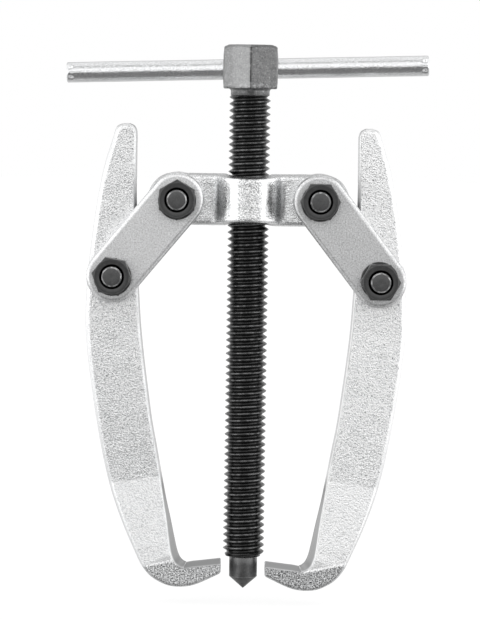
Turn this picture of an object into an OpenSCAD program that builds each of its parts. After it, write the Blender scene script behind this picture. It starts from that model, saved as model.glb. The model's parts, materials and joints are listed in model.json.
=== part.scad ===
// Two-jaw gear puller with a tommy bar. Millimetres.
// Origin: the tip of the centre point, on the forcing screw's axis.
// +Z points up towards the hex head, X runs along the crosshead, -Y is the front, the nut side.
// The jaws are drawn closed, as the puller is carried; the links and jaws swing outwards from here.

/* [Crosshead] */
// Height of the crosshead's middle above the tip
crosshead_z = 115.7; // [112:0.1:117]
// Distance from the screw axis to each link pivot
pivot_x = 21; // [20:0.5:23]
// Height of the crosshead arms
arm_h = 15.6; // [14:0.2:16]
// Thickness of the crosshead arms and of the jaws at their pivots
web_t = 10; // [9:0.5:11]
// Radius of the threaded hub
hub_r = 11; // [10:0.25:12]
// Radius of the concave blend between hub and arm
hub_blend = 3; // [2:0.5:4]
// How far the rounded arm end stands past the pivot
arm_end = 9; // [8.5:0.1:9]

/* [Forcing screw] */
// Thread crest radius
thread_r = 6.1; // [5.9:0.05:6.15]
// Thread root radius
root_r = 5.02; // [4.9:0.02:5.2]
// Thread pitch, one turn of travel
pitch = 2; // [1.75:0.25:2]
// Number of thread ridges
ridges = 68; // [60:1:68]
// Hex head width across flats
head_af = 15.8; // [15:0.1:17]
// Hex head height
head_h = 13; // [12:0.5:14]
// Height of the hex head's lower face
head_z = 148.5; // [148.2:0.1:149]
// Radius of the cross hole for the tommy bar
bar_hole_r = 3.35; // [3.3:0.05:3.5]

/* [Centre point] */
// Radius of the nose
nose_r = 4.15; // [3.8:0.05:4.4]
// Length of the nose's straight part
nose_h = 6; // [5:0.5:7]
// Length of the cone
cone_h = 3.6; // [3:0.2:4]
// Radius of the spigot that turns in the end of the screw
spigot_r = 2; // [1.8:0.1:2.2]

/* [Tommy bar] */
// Bar radius
bar_r = 3; // [2.8:0.05:3]
// Bar length
bar_len = 107; // [90:1:120]
// Height of the bar's centre
bar_z = 154.3; // [154:0.1:154.6]
// How far the bar is slid along its hole, to the left
bar_shift = 0.8; // [0:0.2:2]
// Droop of the bar's left end in its loose hole, in degrees
bar_tilt = 1.9; // [0:0.1:2]

/* [Links] */
// Distance between a link's two holes
link_len = 29.4; // [29:0.2:30]
// Width of a link plate
link_w = 15.8; // [15:0.2:16]
// Thickness of a link plate
link_t = 4; // [3:0.5:4.5]
// Chamfer on a link plate's rim
link_c = 0.8; // [0.4:0.1:1.2]
// Angle of the left links below the horizontal
left_angle = 50.5; // [50:0.5:51]
// Angle of the right links below the horizontal
right_angle = 52.3; // [52:0.1:52.6]

/* [Jaws] */
// Half thickness of a jaw at its foot
foot_t = 7.5; // [6:0.5:8]
// Draft of a jaw's sides at the rounding, per side
draft = 0.38; // [0.2:0.02:0.5]
// Rounding of a jaw's long edges
jaw_edge = 0.85; // [0.5:0.05:1]
// Outward turn of the right jaw when closed, in degrees
right_turn = 0.3; // [0.3:0.1:0.5]

/* [Pivot hardware] */
// Bolt shank radius
bolt_r = 3; // [2.9:0.05:3]
// Running clearance of every pivot, on the radius
clear = 0.05; // [0.03:0.01:0.08]
// Nut and bolt head width across flats
nut_af = 10.4; // [10:0.1:10.8]
// Nut thickness
nut_h = 5; // [4.5:0.1:5.5]
// Bolt head thickness
bolt_head_h = 4; // [3.5:0.1:4.5]
// Spring washer outer radius
washer_r = 5.6; // [5.5:0.05:5.8]
// Spring washer thickness
washer_t = 1.6; // [1.4:0.1:1.8]
// Clearance of a washer on its bolt, on the radius
washer_clear = 0.4; // [0.36:0.02:0.5]
// How far the bolt end stands proud of the nut
bolt_proud = 1.1; // [0.6:0.1:1.6]

/* [Hidden] */
$fn = 96;

zinc = [0.80, 0.81, 0.82];
forged = [0.74, 0.75, 0.76];
satin = [0.70, 0.71, 0.72];
oxide = [0.20, 0.20, 0.21];
gunmetal = [0.45, 0.46, 0.47];

over = 1;                               // overlap of joined parts, overrun of cuts
web_half = web_t / 2;
bore_r = bolt_r + clear;                // pivot holes

// Stack along Y at a pivot
side_play = 0.1;                        // between plates and webs
in_y = web_half + side_play;            // inner face of a link plate
out_y = in_y + link_t;                  // outer face of a link plate
washer_y = -out_y - washer_t;           // front face of a washer
nut_y = washer_y - nut_h;               // front face of a nut
bolt_y = nut_y - bolt_proud;            // front end of a bolt

// Pivots as [x, z]
upper_left = [-pivot_x, crosshead_z];
upper_right = [pivot_x, crosshead_z];
lower_left = upper_left + link_len * [-cos(left_angle), -sin(left_angle)];
lower_right = upper_right + link_len * [cos(right_angle), -sin(right_angle)];

// ---- helpers ----

// Puts a child drawn about the Y axis at a pivot
module at_pivot(pivot) { translate([pivot[0], 0, pivot[1]]) children(); }

// Turns a child drawn along +Z by spin, then lays it along +Y from y at a pivot
module along_y(pivot, y, spin = 0) {
    translate([pivot[0], y, pivot[1]]) rotate([-90, 0, 0]) rotate([0, 0, spin]) children();
}

// Cutter for the pivot hole through a web, along Y
module web_bore() {
    translate([0, web_t, 0]) rotate([90, 0, 0]) cylinder(r = bore_r, h = 2 * web_t);
}

// Ball that rounds off a hexagon's corners below z = 0:
// flat inside af / 2 - inset, then sloping
module corner_ball(af, inset, slope) {
    corner_r = af / sqrt(3);
    flat_r = af / 2 - inset;
    drop = (corner_r - flat_r) * tan(slope);     // height lost at a corner
    depth = (corner_r * corner_r + drop * drop - flat_r * flat_r) / (2 * drop);
    translate([0, 0, -depth]) sphere(r = sqrt(flat_r * flat_r + depth * depth));
}

// Hexagonal prism, its corners rounded off at the top and, if asked, at the bottom
module hex_prism(af, h, inset = 0.25, slope = 30, bottom = true) {
    intersection() {
        cylinder(r = af / sqrt(3), h = h, $fn = 6);
        translate([0, 0, h]) corner_ball(af, inset, slope);
        if (bottom) mirror([0, 0, 1]) corner_ball(af, inset = 0.25, slope = 30);
    }
}

// ---- crosshead ----

mouth_depth = 0.8;                      // 45 degree countersink of the threaded hole

// Plan of the crosshead: round hub, straight arms, concave blends
module crosshead_plan() {
    blend_y = web_half + hub_blend;
    blend_x = sqrt(pow(hub_r + hub_blend, 2) - pow(blend_y, 2));
    circle(r = hub_r);
    square([2 * (pivot_x + arm_end), web_t], center = true);
    for (sx = [-1, 1]) for (sy = [-1, 1]) {
        foot = [sx * blend_x, 0];
        centre = [sx * blend_x, sy * blend_y];
        difference() {
            // both orders run anticlockwise
            polygon(sx * sy > 0 ? [[0, 0], foot, centre] : [[0, 0], centre, foot]);
            translate(centre) circle(r = hub_blend);
        }
    }
}

// Front outline of the crosshead: flat top and bottom, fully rounded ends
module crosshead_front() {
    end_x = pivot_x + arm_end - arm_h / 2;
    square([2 * end_x, arm_h], center = true);
    for (side = [-1, 1]) translate([side * end_x, 0]) circle(r = arm_h / 2);
}

module crosshead() {
    hole_r = thread_r + clear;          // threaded hole, drawn plain over the thread's crests
    mouth_r = hole_r + 2 * mouth_depth;
    color(forged) translate([0, 0, crosshead_z]) difference() {
        intersection() {
            translate([0, 0, -arm_h / 2]) linear_extrude(height = arm_h) crosshead_plan();
            translate([0, 1.5 * hub_r, 0]) rotate([90, 0, 0])
                linear_extrude(height = 3 * hub_r) crosshead_front();
        }
        translate([0, 0, -arm_h]) cylinder(r = hole_r, h = 2 * arm_h);
        translate([0, 0, arm_h / 2 - mouth_depth])
            cylinder(r1 = hole_r, r2 = mouth_r, h = 2 * mouth_depth);
        translate([0, 0, -arm_h / 2 - mouth_depth])
            cylinder(r1 = mouth_r, r2 = hole_r, h = 2 * mouth_depth);
        for (x = [-pivot_x, pivot_x]) translate([x, 0, 0]) web_bore();
    }
}

// ---- screw, point and bar ----

nose_top = cone_h + nose_h;
nose_chamfer = 0.3;
end_play = 0.1;                         // of the centre point under the screw
thread_end_z = nose_top + end_play;     // lower end of the thread
thread_top = thread_end_z + ridges * pitch;
neck_r = 5.75;                          // plain neck between thread and head
collar_r = 6.4;                         // top of the small cone under the head
collar_h = 0.8;
collar_drop = 0.6;                      // how far the cone starts below the head
spigot_h = 8;
socket_depth = 8.5;                     // blind hole for the spigot

bar_chamfer = 0.4;
stake_inset = 3;                        // from the bar's end to its staking
bump_r = 1.2;
bump_len = 2.2;
bump_sink = 0.62;                       // bump centre below the bar's surface
dent = [1.8, 1.8, 3];
dent_rise = 0.5;                        // dent cutter's centre above the surface

// Half section of the screw: neck, then ridges with 60 degree included angle
module screw_profile() {
    half_crest = pitch / 16;
    flank = (thread_r - root_r) * tan(30);       // axial run of one flank
    half_foot = half_crest + flank;
    polygon(concat(
        [[0, head_z + over], [neck_r, head_z + over], [neck_r, thread_top]],
        [for (i = [0 : ridges - 1]) let (z = thread_top - (i + 0.5) * pitch)
            each [[root_r, z + half_foot], [thread_r, z + half_crest],
                  [thread_r, z - half_crest], [root_r, z - half_foot]]],
        [[root_r, thread_end_z], [0, thread_end_z]]));
}

module forcing_screw() {
    color(oxide) difference() {
        union() {
            rotate_extrude() screw_profile();
            // head turned so that one corner faces the nut side and two flats face along X
            translate([0, 0, head_z]) rotate([0, 0, 90])
                hex_prism(head_af, head_h, inset = 1.4, slope = 23);
            translate([0, 0, head_z - collar_drop])
                cylinder(r1 = neck_r, r2 = collar_r, h = collar_h);
        }
        translate([-head_af, 0, bar_z]) rotate([0, 90, 0])
            cylinder(r = bar_hole_r, h = 2 * head_af);
        translate([0, 0, thread_end_z - over])
            cylinder(r = spigot_r + clear, h = socket_depth + over);
    }
}

module centre_point() {
    color(gunmetal) rotate_extrude()
        polygon([[0, 0], [nose_r, cone_h], [nose_r, nose_top - nose_chamfer],
                 [nose_r - nose_chamfer, nose_top], [spigot_r, nose_top],
                 [spigot_r, nose_top + spigot_h], [0, nose_top + spigot_h]]);
}

module tommy_bar() {
    half = bar_len / 2;
    face_r = bar_r - bar_chamfer;
    stake_x = half - stake_inset;
    color(zinc)
        translate([0, 0, bar_z]) rotate([0, -bar_tilt, 0]) translate([-bar_shift, 0, 0])
            difference() {
                union() {
                    rotate([0, 90, 0]) rotate_extrude()
                        polygon([[0, -half], [face_r, -half], [bar_r, -half + bar_chamfer],
                                 [bar_r, half - bar_chamfer], [face_r, half], [0, half]]);
                    // metal thrown up by staking, above and below, keeps the bar in its hole
                    for (end = [-1, 1]) for (side = [-1, 1])
                        translate([end * stake_x, 0, side * (bar_r - bump_sink)])
                            rotate([90, 0, 0]) cylinder(r = bump_r, h = bump_len, center = true);
                }
                // staking dents, front and back
                for (end = [-1, 1]) for (side = [-1, 1])
                    translate([end * stake_x, side * (bar_r + dent_rise), 0])
                        rotate([0, 0, 45]) cube(dent, center = true);
            }
}

// ---- links ----

// Plate with rounded ends and a chamfered rim; first hole at the origin, second along +X
module link_plate(y) {
    link_r = link_w / 2;
    rim = [[link_r - link_c, 0], [link_r, link_c],
           [link_r, link_t - link_c], [link_r - link_c, link_t]];
    far_rim = [for (i = [3 : -1 : 0]) [-rim[i][0], rim[i][1]]];
    translate([0, y + link_t, 0]) rotate([90, 0, 0]) difference() {
        union() {
            for (x = [0, link_len]) translate([x, 0, 0])
                rotate_extrude() polygon(concat([[0, 0]], rim, [[0, link_t]]));
            rotate([90, 0, 90]) linear_extrude(height = link_len) polygon(concat(rim, far_rim));
        }
        for (x = [0, link_len]) translate([x, 0, -over])
            cylinder(r = bore_r, h = link_t + 2 * over);
    }
}

// Link plate hung from a pivot, turned down from +X by angle
module link(pivot, angle, y) {
    color(satin) at_pivot(pivot) rotate([0, angle, 0]) link_plate(y);
}

module link_left_front() { link(upper_left, 180 - left_angle, -out_y); }
module link_left_rear() { link(upper_left, 180 - left_angle, in_y); }
module link_right_front() { link(upper_right, right_angle, -out_y); }
module link_right_rear() { link(upper_right, right_angle, in_y); }

// ---- jaws ----

// Half thickness part of the way from web to foot
function flare(part) = web_half + (foot_t - web_half) * part;

// Stations down the left jaw from its tail to its hook, measured from the pivot,
// with +X towards the screw: outer x, outer z, inner x, inner z, half thickness
JAW = [
    [2.3, 44.75, 4.4, 44.8, web_half - 0.5],
    [0.9, 44.2, 5.7, 44.15, web_half],      [0.1, 43.2, 6.4, 43, web_half],
    [-0.4, 41.4, 6.6, 41.4, web_half],      [-1.45, 37.9, 6.6, 37.9, web_half],
    [-2.6, 34.2, 6.6, 34.2, web_half],      [-3.8, 29, 6.6, 29, web_half],
    [-5.15, 21.8, 6.65, 21.8, web_half],    [-6.6, 10.7, 7, 10.7, web_half],
    [-7.7, 0, 7.4, 0, web_half],            [-8.15, -9, 7.95, -9, web_half],
    [-8.1, -16, 8.5, -16, web_half],        [-7.4, -24, 9.4, -24, web_half],
    [-6.2, -33, 10.6, -33, web_half],       [-4.6, -43, 12.05, -43, web_half],
    [-2.8, -52.5, 13.6, -51, web_half],     [-0.7, -61.4, 15.05, -58.8, web_half],
    [1.5, -68.3, 16.45, -66, flare(0.3)],   [4, -74.8, 18, -72.8, flare(0.58)],
    [6.6, -80.6, 19.2, -78.4, flare(0.82)], [9.15, -85.9, 20.05, -81.9, foot_t],
    [11.7, -89.1, 20.9, -83.9, foot_t],     [14.7, -91.1, 22.1, -85.1, foot_t],
    [18, -92.3, 23.4, -85.45, foot_t],      [21.9, -92.5, 25, -85.25, foot_t],
    [25.2, -91.9, 27, -84.95, foot_t],      [28.6, -90.5, 29.8, -84.55, foot_t],
    [33, -88.4, 33, -84.1, foot_t]];

full_width = 4;                         // narrower stations get less draft and rounding
grip_pos = [33, 0, -84.5];              // point on the hook's gripping face
grip_angle = 7.4;                       // rise of that face towards the hook's tip
grip_back = 9.4;                        // reach of its cutter behind that point
grip_cut = [20, 40, 6];

// Catmull-Rom spline from p1 to p2
function spline(p0, p1, p2, p3, t) =
    0.5 * (2 * p1 + (p2 - p0) * t + (2 * p0 - 5 * p1 + 4 * p2 - p3) * t * t
           + (3 * p1 - p0 - 3 * p2 + p3) * t * t * t);

function jaw_station(i, t) =
    spline(JAW[max(i - 1, 0)], JAW[i], JAW[i + 1], JAW[min(i + 2, len(JAW) - 1)], t);

// Ten points round one station: the widest line is the parting line at y = 0
function jaw_ring(station) = let (
    outer = [station[0], station[1]],
    inner = [station[2], station[3]],
    half = station[4],
    shoulder = half - jaw_edge,
    width = norm(inner - outer),
    inward = (inner - outer) / width * min(1, width / full_width),
    side = inward * draft,
    edge = inward * (draft + jaw_edge))
    [for (q = [[outer, 0], [outer + side, shoulder], [outer + edge, half],
               [inner - edge, half], [inner - side, shoulder],
               [inner, 0], [inner - side, -shoulder], [inner - edge, -half],
               [outer + edge, -half], [outer + side, -shoulder]])
        [q[0][0], q[1], q[0][1]]];

module jaw() {
    // one extra station halfway along each span
    stations = [for (i = [0 : len(JAW) - 2]) for (t = [0, 0.5]) jaw_station(i, t),
                JAW[len(JAW) - 1]];
    rings = [for (station = stations) jaw_ring(station)];
    last = len(rings) - 1;
    count = len(rings[0]);
    difference() {
        polyhedron(
            points = [for (ring = rings) each ring],
            faces = concat(
                [[for (k = [0 : count - 1]) k]],
                [[for (k = [count - 1 : -1 : 0]) last * count + k]],
                [for (i = [0 : last - 1]) for (k = [0 : count - 1])
                    let (here = i * count, below = here + count, next = (k + 1) % count)
                    each [[here + k, below + k, below + next],
                          [here + k, below + next, here + next]]]),
            convexity = 8);
        web_bore();
        // flat gripping face of the hook
        translate(grip_pos) rotate([0, -grip_angle, 0])
            translate([-grip_back, -grip_cut[1] / 2, 0]) cube(grip_cut);
    }
}

module jaw_left() { color(forged) at_pivot(lower_left) jaw(); }
module jaw_right() {
    color(forged) at_pivot(lower_right) rotate([0, -right_turn, 0]) mirror([1, 0, 0]) jaw();
}

// ---- pivot hardware ----

bolt_chamfer = 0.6;
nut_sink = 0.65;                        // 45 degree countersink in a nut's front face
split_x = bolt_r + 1.5;                 // middle of the washer's split
split_size = [6, 0.7, 4];
split_slant = 20;

module bolt(pivot, spin) {
    shank_len = out_y - bolt_y + over;
    color(oxide) {
        along_y(pivot, bolt_y) rotate_extrude()
            polygon([[0, 0], [bolt_r - bolt_chamfer, 0], [bolt_r, bolt_chamfer],
                     [bolt_r, shank_len], [0, shank_len]]);
        along_y(pivot, out_y, spin) hex_prism(nut_af, bolt_head_h, bottom = false);
    }
}

module nut(pivot, spin) {
    color(oxide) along_y(pivot, nut_y, spin) difference() {
        hex_prism(nut_af, nut_h);
        translate([0, 0, -over]) cylinder(r = bore_r, h = nut_h + 2 * over);
        translate([0, 0, -0.01]) cylinder(r1 = bolt_r + nut_sink, r2 = bolt_r, h = nut_sink);
    }
}

// Spring washer with its split at the given angle, nipped off centre by offset [x, z]
module washer(pivot, spin, offset) {
    color(oxide) along_y(pivot + offset, washer_y, spin) difference() {
        cylinder(r = washer_r, h = washer_t);
        translate([0, 0, -over]) cylinder(r = bolt_r + washer_clear, h = washer_t + 2 * over);
        translate([split_x, 0, washer_t / 2]) rotate([split_slant, 0, 0])
            cube(split_size, center = true);
    }
}

module bolt_upper_left() { bolt(upper_left, 30); }
module bolt_lower_left() { bolt(lower_left, 12); }
module bolt_upper_right() { bolt(upper_right, 0); }
module bolt_lower_right() { bolt(lower_right, 20); }
module nut_upper_left() { nut(upper_left, 30); }
module nut_lower_left() { nut(lower_left, -47); }
module nut_upper_right() { nut(upper_right, 0); }
module nut_lower_right() { nut(lower_right, 0); }
module washer_upper_left() { washer(upper_left, -40, [0, -0.34]); }
module washer_lower_left() { washer(lower_left, -75, [0.05, -0.3]); }
module washer_upper_right() { washer(upper_right, -130, [0, -0.32]); }
module washer_lower_right() { washer(lower_right, 160, [-0.17, 0.29]); }

crosshead();
forcing_screw();
centre_point();
tommy_bar();
jaw_left();
jaw_right();
link_left_front();
link_left_rear();
link_right_front();
link_right_rear();
bolt_upper_left();
bolt_lower_left();
bolt_upper_right();
bolt_lower_right();
nut_upper_left();
nut_lower_left();
nut_upper_right();
nut_lower_right();
washer_upper_left();
washer_lower_left();
washer_upper_right();
washer_lower_right();
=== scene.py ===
# A two-jaw puller: a forcing screw through a crosshead, and two hooked jaws hung from it on
# pairs of link plates. The screw stands on the Z axis with its point down at Z = 0, the
# crosshead's arms run along X (left is -X), and the front is -Y. Meshes are built in mm and
# scaled to metres when they are placed.
import json
import math

import bmesh
import bpy
import numpy as np
from mathutils import Matrix, Vector, noise


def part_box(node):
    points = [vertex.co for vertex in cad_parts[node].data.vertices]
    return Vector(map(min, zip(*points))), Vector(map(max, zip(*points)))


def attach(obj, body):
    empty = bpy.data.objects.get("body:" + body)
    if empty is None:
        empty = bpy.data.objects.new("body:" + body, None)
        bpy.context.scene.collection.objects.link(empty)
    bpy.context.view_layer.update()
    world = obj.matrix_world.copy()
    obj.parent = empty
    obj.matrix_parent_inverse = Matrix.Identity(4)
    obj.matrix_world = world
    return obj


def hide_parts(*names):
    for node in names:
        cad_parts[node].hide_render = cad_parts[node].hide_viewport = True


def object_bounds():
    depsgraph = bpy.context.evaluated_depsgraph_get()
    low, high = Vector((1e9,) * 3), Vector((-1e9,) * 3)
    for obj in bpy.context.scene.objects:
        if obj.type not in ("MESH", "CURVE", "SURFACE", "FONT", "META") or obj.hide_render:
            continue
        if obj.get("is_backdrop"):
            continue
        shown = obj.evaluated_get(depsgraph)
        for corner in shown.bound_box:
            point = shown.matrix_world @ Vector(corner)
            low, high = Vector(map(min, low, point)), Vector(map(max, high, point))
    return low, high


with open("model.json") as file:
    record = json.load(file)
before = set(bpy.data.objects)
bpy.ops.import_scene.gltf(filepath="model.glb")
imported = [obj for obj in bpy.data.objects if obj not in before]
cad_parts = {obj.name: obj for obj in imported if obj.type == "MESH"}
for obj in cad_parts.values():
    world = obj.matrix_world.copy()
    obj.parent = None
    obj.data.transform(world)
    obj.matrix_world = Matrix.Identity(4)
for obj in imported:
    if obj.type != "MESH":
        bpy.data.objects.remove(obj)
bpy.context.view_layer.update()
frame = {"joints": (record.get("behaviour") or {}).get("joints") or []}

MM = 0.001
rad, deg = math.radians, math.degrees


# ---------------------------------------------------------------- measures from the frame, mm

def box_mm(node):
    low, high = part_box(node)
    return np.array(low) * 1000, np.array(high) * 1000


JOINTS = {joint["name"]: joint for joint in frame["joints"]}


def pivot_mm(joint):
    """(x, z) of a joint whose axis runs along Y."""
    place_m = JOINTS[joint]["pos_m"]
    return np.array([place_m[0], place_m[2]]) * 1000


UPPER_LEFT, UPPER_RIGHT = pivot_mm("left_link_swing"), pivot_mm("right_link_swing")
LOWER_LEFT, LOWER_RIGHT = pivot_mm("left_jaw_swing"), pivot_mm("right_jaw_swing")
BAR_AXIS = np.array(JOINTS["bar_slide"]["axis"], float)
BAR_AXIS /= np.linalg.norm(BAR_AXIS)

head_lo, head_hi = box_mm("crosshead")
ARM_Z = (head_lo[2] + head_hi[2]) / 2        # middle height of the crosshead
ARM_R = (head_hi[2] - head_lo[2]) / 2        # half height of its arms, and radius of their ends
ARM_END_X = head_hi[0] - ARM_R               # where the rounded ends begin
HUB_R = head_hi[1]
screw_lo, screw_hi = box_mm("forcing_screw")
nose_hi = box_mm("centre_point")[1]
front_lo, front_hi = box_mm("link_left_front")
LINK_OUT_Y, LINK_IN_Y = -front_lo[1], -front_hi[1]   # outer and inner faces of a link plate
nut_lo, nut_hi = box_mm("nut_upper_left")
bolt_lo, bolt_hi = box_mm("bolt_upper_left")

WEB = 5.0                # half thickness of arms and jaws at the pivots
PIN_HOLE_R = 3.05        # holes for the pivot bolts
CROSS_HOLE_Z = 154.3     # height of the hole through the screw's head, and of the bar in it


# ---------------------------------------------------------------- mesh tools, all in mm

def mesh_object(name, verts, faces, merge=0.0):
    mesh = bpy.data.meshes.new(name)
    mesh.from_pydata([tuple(map(float, point)) for point in verts], [], faces)
    work = bmesh.new()
    work.from_mesh(mesh)
    if merge:
        bmesh.ops.remove_doubles(work, verts=work.verts, dist=merge)
        bmesh.ops.dissolve_degenerate(work, edges=work.edges, dist=merge * 0.1)
    bmesh.ops.recalc_face_normals(work, faces=work.faces)
    work.to_mesh(mesh)
    work.free()
    obj = bpy.data.objects.new(name, mesh)
    bpy.context.scene.collection.objects.link(obj)
    return obj


def loft(rings):
    """Faces between consecutive closed rings, capped at both ends; rings is (n, m, 3)."""
    count, size = rings.shape[:2]
    faces = []
    for i in range(count - 1):
        this, after = i * size, (i + 1) * size
        for k in range(size):
            k2 = (k + 1) % size
            faces.append((this + k, after + k, after + k2, this + k2))
    faces.append(tuple(range(size)))
    faces.append(tuple((count - 1) * size + k for k in range(size - 1, -1, -1)))
    return rings.reshape(-1, 3), faces


def turned(rings, closed=False):
    """Faces round a turned body; rings is (angles, profile points, 3)."""
    count, size = rings.shape[:2]
    faces = []
    for i in range(count):
        j = (i + 1) % count
        for k in range(size if closed else size - 1):
            k2 = (k + 1) % size
            faces.append((i * size + k, j * size + k, j * size + k2, i * size + k2))
    return rings.reshape(-1, 3), faces


def revolve(profile, segments=96):
    """Turns a profile of (radius, height) pairs about Z."""
    profile = np.array(profile, float)
    radii, heights = profile[:, 0], profile[:, 1]
    angles = np.arange(segments) * 2 * math.pi / segments
    return turned(np.stack([
        np.stack([radii * math.cos(a), radii * math.sin(a), heights], 1) for a in angles]))


def joined(parts):
    """Several (points, faces) pairs as one."""
    verts, faces, base = [], [], 0
    for part_verts, part_faces in parts:
        verts.append(part_verts)
        faces += [tuple(base + k for k in face) for face in part_faces]
        base += len(part_verts)
    return np.concatenate(verts), faces


def cut(obj, cutters):
    """Subtracts the cutters; the exact solver is the fallback if the first result looks wrong."""
    faces_before = len(obj.data.polygons)
    for solver in ("MANIFOLD", "EXACT"):
        modifiers = []
        for cutter in cutters:
            modifier = obj.modifiers.new("cut", "BOOLEAN")
            modifier.operation, modifier.object = "DIFFERENCE", cutter
            try:
                modifier.solver = solver
            except TypeError:       # a Blender that lacks the manifold solver
                modifier.solver = "EXACT"
            modifiers.append(modifier)
        bpy.context.view_layer.update()
        depsgraph = bpy.context.evaluated_depsgraph_get()
        mesh = bpy.data.meshes.new_from_object(obj.evaluated_get(depsgraph))
        for modifier in modifiers:
            obj.modifiers.remove(modifier)
        changed = len(mesh.vertices) != len(obj.data.vertices)
        if len(mesh.polygons) > faces_before * 0.5 and changed:
            break
    # slivers left along the rims are closed up, so that every edge keeps exactly two faces
    work = bmesh.new()
    work.from_mesh(mesh)
    bmesh.ops.triangulate(work, faces=[face for face in work.faces if len(face.verts) > 4])
    bmesh.ops.remove_doubles(work, verts=work.verts[:], dist=5e-3)
    bmesh.ops.dissolve_degenerate(work, edges=work.edges[:], dist=5e-3)
    work.to_mesh(mesh)
    work.free()
    old = obj.data
    obj.data = mesh
    bpy.data.meshes.remove(old)
    for cutter in cutters:
        bpy.data.objects.remove(cutter)


def revolved_cutter(profile):
    verts, faces = revolve(profile)
    return mesh_object("cutter", verts, faces, merge=1e-5)


def rod(radius, start, end, segments=96):
    """A cutter: a cylinder from start to end."""
    start, end = np.array(start, float), np.array(end, float)
    length = np.linalg.norm(end - start)
    verts, faces = revolve([(0, 0), (radius, 0), (radius, length), (0, length)], segments)
    turn = Vector((end - start) / length).to_track_quat("Z", "Y").to_matrix()
    verts = verts @ np.array(turn).T + start
    return mesh_object("cutter", verts, faces, merge=1e-5)


def pin_hole(pivot, reach=12, segments=96):
    return rod(PIN_HOLE_R, (pivot[0], -reach, pivot[1]), (pivot[0], reach, pivot[1]), segments)


def read_vectors(items, key):
    flat = np.zeros(len(items) * 3, np.float32)
    items.foreach_get(key, flat)
    return flat.reshape(-1, 3).astype(float)


def coords(obj):
    return read_vectors(obj.data.vertices, "co")


def normals(obj):
    return read_vectors(obj.data.vertex_normals, "vector")


def set_coords(obj, points):
    obj.data.vertices.foreach_set("co", points.astype(np.float32).ravel())
    obj.data.update()


def hammered(obj, mask, seed, broad=0.10, fine=0.05, broad_length=7.0, fine_length=1.3):
    """Uneven forged skin: the surface only moves inwards, by at most broad + fine."""
    points = coords(obj)
    shift = Vector((seed * 13.1, seed * 7.7, seed * 3.3))

    def level(place, gain):
        return 0.5 + 0.5 * max(-1, min(1, noise.noise(place) * gain))

    depth = np.zeros(len(points))
    for i, point in enumerate(points):
        if mask[i] <= 0:
            continue
        place = Vector(point) + shift
        dent = broad * level(place / broad_length, 1.6) + fine * level(place / fine_length, 1.3)
        depth[i] = -dent * mask[i]
    set_coords(obj, points + normals(obj) * depth[:, None])


def attribute(obj, name, values):
    layer = obj.data.attributes.new(name, "FLOAT", "POINT")
    layer.data.foreach_set("value", np.asarray(values, np.float32))


def mark_edges(obj):
    """Attribute edge: 1 where the surface turns sharply, for worn edges."""
    work = bmesh.new()
    work.from_mesh(obj.data)
    values = np.zeros(len(work.verts))
    for edge in work.edges:
        if len(edge.link_faces) == 2:
            angle = edge.calc_face_angle(0.0)
            if angle > rad(18):
                for vert in edge.verts:
                    values[vert.index] = max(values[vert.index], min(1.0, angle / rad(45)))
    work.free()
    attribute(obj, "edge", values)


def place(obj, body, node, slot, material, sharp):
    """Scales a mesh to metres, lets it ride on its body and stand for its CAD node.
    Edges that turn by more than sharp degrees stay hard."""
    obj.data.transform(Matrix.Scale(MM, 4))
    obj.data.materials.clear()
    obj.data.materials.append(material)
    obj.data.shade_smooth()
    obj.data.set_sharp_from_angle(angle=rad(sharp))
    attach(obj, body)
    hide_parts(node)


def smooth01(x, low, high):
    """Smooth step from 0 at low to 1 at high."""
    share = np.clip((np.asarray(x, float) - low) / (high - low), 0, 1)
    return share * share * (3 - 2 * share)


def hump(x, rise_start, rise_end, fall_start, fall_end):
    """Smooth step up to 1 and back down to 0."""
    return smooth01(x, rise_start, rise_end) * (1 - smooth01(x, fall_start, fall_end))


# ---------------------------------------------------------------- node tools

class Value:
    """A number in a shader tree; arithmetic on it adds Math nodes."""

    def __init__(self, tree, socket):
        self.tree, self.socket = tree, socket

    def __add__(self, other):
        return self.tree.math("ADD", self, other)

    def __radd__(self, other):
        return self.tree.math("ADD", other, self)

    def __sub__(self, other):
        return self.tree.math("SUBTRACT", self, other)

    def __rsub__(self, other):
        return self.tree.math("SUBTRACT", other, self)

    def __mul__(self, other):
        return self.tree.math("MULTIPLY", self, other)

    def swing(self, amount, middle=0.5):
        """A variation about zero, amount wide for a value that spans 0 to 1."""
        return (self - middle) * amount

    def clamped(self):
        self.socket.node.use_clamp = True
        return self


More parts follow.
